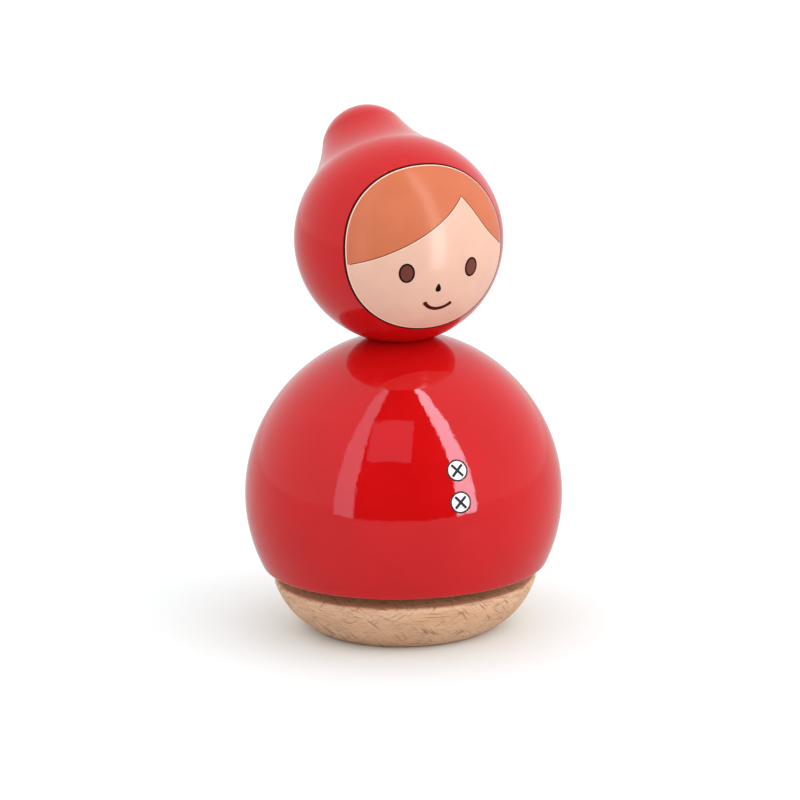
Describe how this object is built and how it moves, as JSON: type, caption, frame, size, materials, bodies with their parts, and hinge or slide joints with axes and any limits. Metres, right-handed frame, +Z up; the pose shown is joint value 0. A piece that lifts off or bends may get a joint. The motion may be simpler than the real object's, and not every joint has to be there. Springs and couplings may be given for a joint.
{
  "type": "wooden music box",
  "caption": "Wind-up wooden music box in the form of a round hooded doll on a shallow turned base; the doll is twisted to wind it and turns back as it plays.",
  "frame": {"origin": "centre of the base's flat underside", "axes": "+Z up along the winding arbor, -Y the way the doll looks, +X to the doll's left"},
  "size_m": [0.0858, 0.0858, 0.1395],
  "materials": {
    "red_lacquer": "glossy red lacquer on turned wood",
    "beech": "bare turned beech, fine sanded, matt",
    "dowel_beech": "bare beech rod",
    "birch_ply": "bare birch plywood",
    "face_print": "printed and lacquered skin tone with painted hair and features",
    "white_enamel": "white enamel with a dark stitched cross",
    "bright_steel": "turned steel",
    "spring_steel": "blued spring steel",
    "brass": "machined brass",
    "zinc": "die-cast zinc alloy",
    "nylon": "natural nylon"
  },
  "bodies": {
    "stand": {"base": "beech", "winding_arbor": "bright_steel", "arbor_nut": "bright_steel", "arbor_washer": "bright_steel", "thrust_washer": "nylon", "drive_wheel": "brass", "ratchet_wheel": "bright_steel", "click_spring": "spring_steel", "click_rivet": "brass", "arbor_clip": "spring_steel"},
    "doll": {"body_shell": "red_lacquer", "head": "red_lacquer", "face_panel": "face_print", "neck_dowel": "dowel_beech", "upper_button": "white_enamel", "lower_button": "white_enamel", "closing_plate": "birch_ply", "bedplate": "zinc", "arbor_bush": "brass", "spring_housing": "bright_steel", "mainspring": "spring_steel", "comb": "spring_steel", "governor_frame": "zinc", "bedplate_screw_1": "bright_steel", "bedplate_screw_2": "bright_steel", "bedplate_screw_3": "bright_steel", "comb_screw_1": "bright_steel", "comb_screw_2": "bright_steel", "frame_screw": "bright_steel"},
    "cylinder": {"pin_cylinder": "brass", "cylinder_arbor": "bright_steel", "cylinder_pinion": "brass", "cylinder_gear": "brass"},
    "governor_wheel": {"governor_wheel": "brass"},
    "governor_fly": {"worm_spindle": "bright_steel", "air_vane": "nylon"}
  },
  "joints": [
    {"name": "doll_turn", "type": "hinge", "parent": "stand", "child": "doll", "pos_m": [0, 0, 0], "axis": [0, 0, 1], "range_deg": [-1350, 0]},
    {"name": "cylinder_spin", "type": "hinge", "parent": "doll", "child": "cylinder", "pos_m": [0.023, 0, 0.03198], "axis": [1, 0, 0], "range_deg": [-4090, 40]},
    {"name": "governor_wheel_spin", "type": "hinge", "parent": "doll", "child": "governor_wheel", "pos_m": [0.019, 0.0096, 0.03198], "axis": [1, 0, 0], "range_deg": [-200, 20450]},
    {"name": "governor_fly_spin", "type": "hinge", "parent": "doll", "child": "governor_fly", "pos_m": [0.019, 0.0135, 0.03198], "axis": [0, 0, 1], "range_deg": [-409000, 4000]}
  ],
  "couplings": [
    {"joint": "cylinder_spin", "follows": "doll_turn", "ratio": 3},
    {"joint": "governor_wheel_spin", "follows": "doll_turn", "ratio": -15},
    {"joint": "governor_fly_spin", "follows": "doll_turn", "ratio": 300}
  ]
}
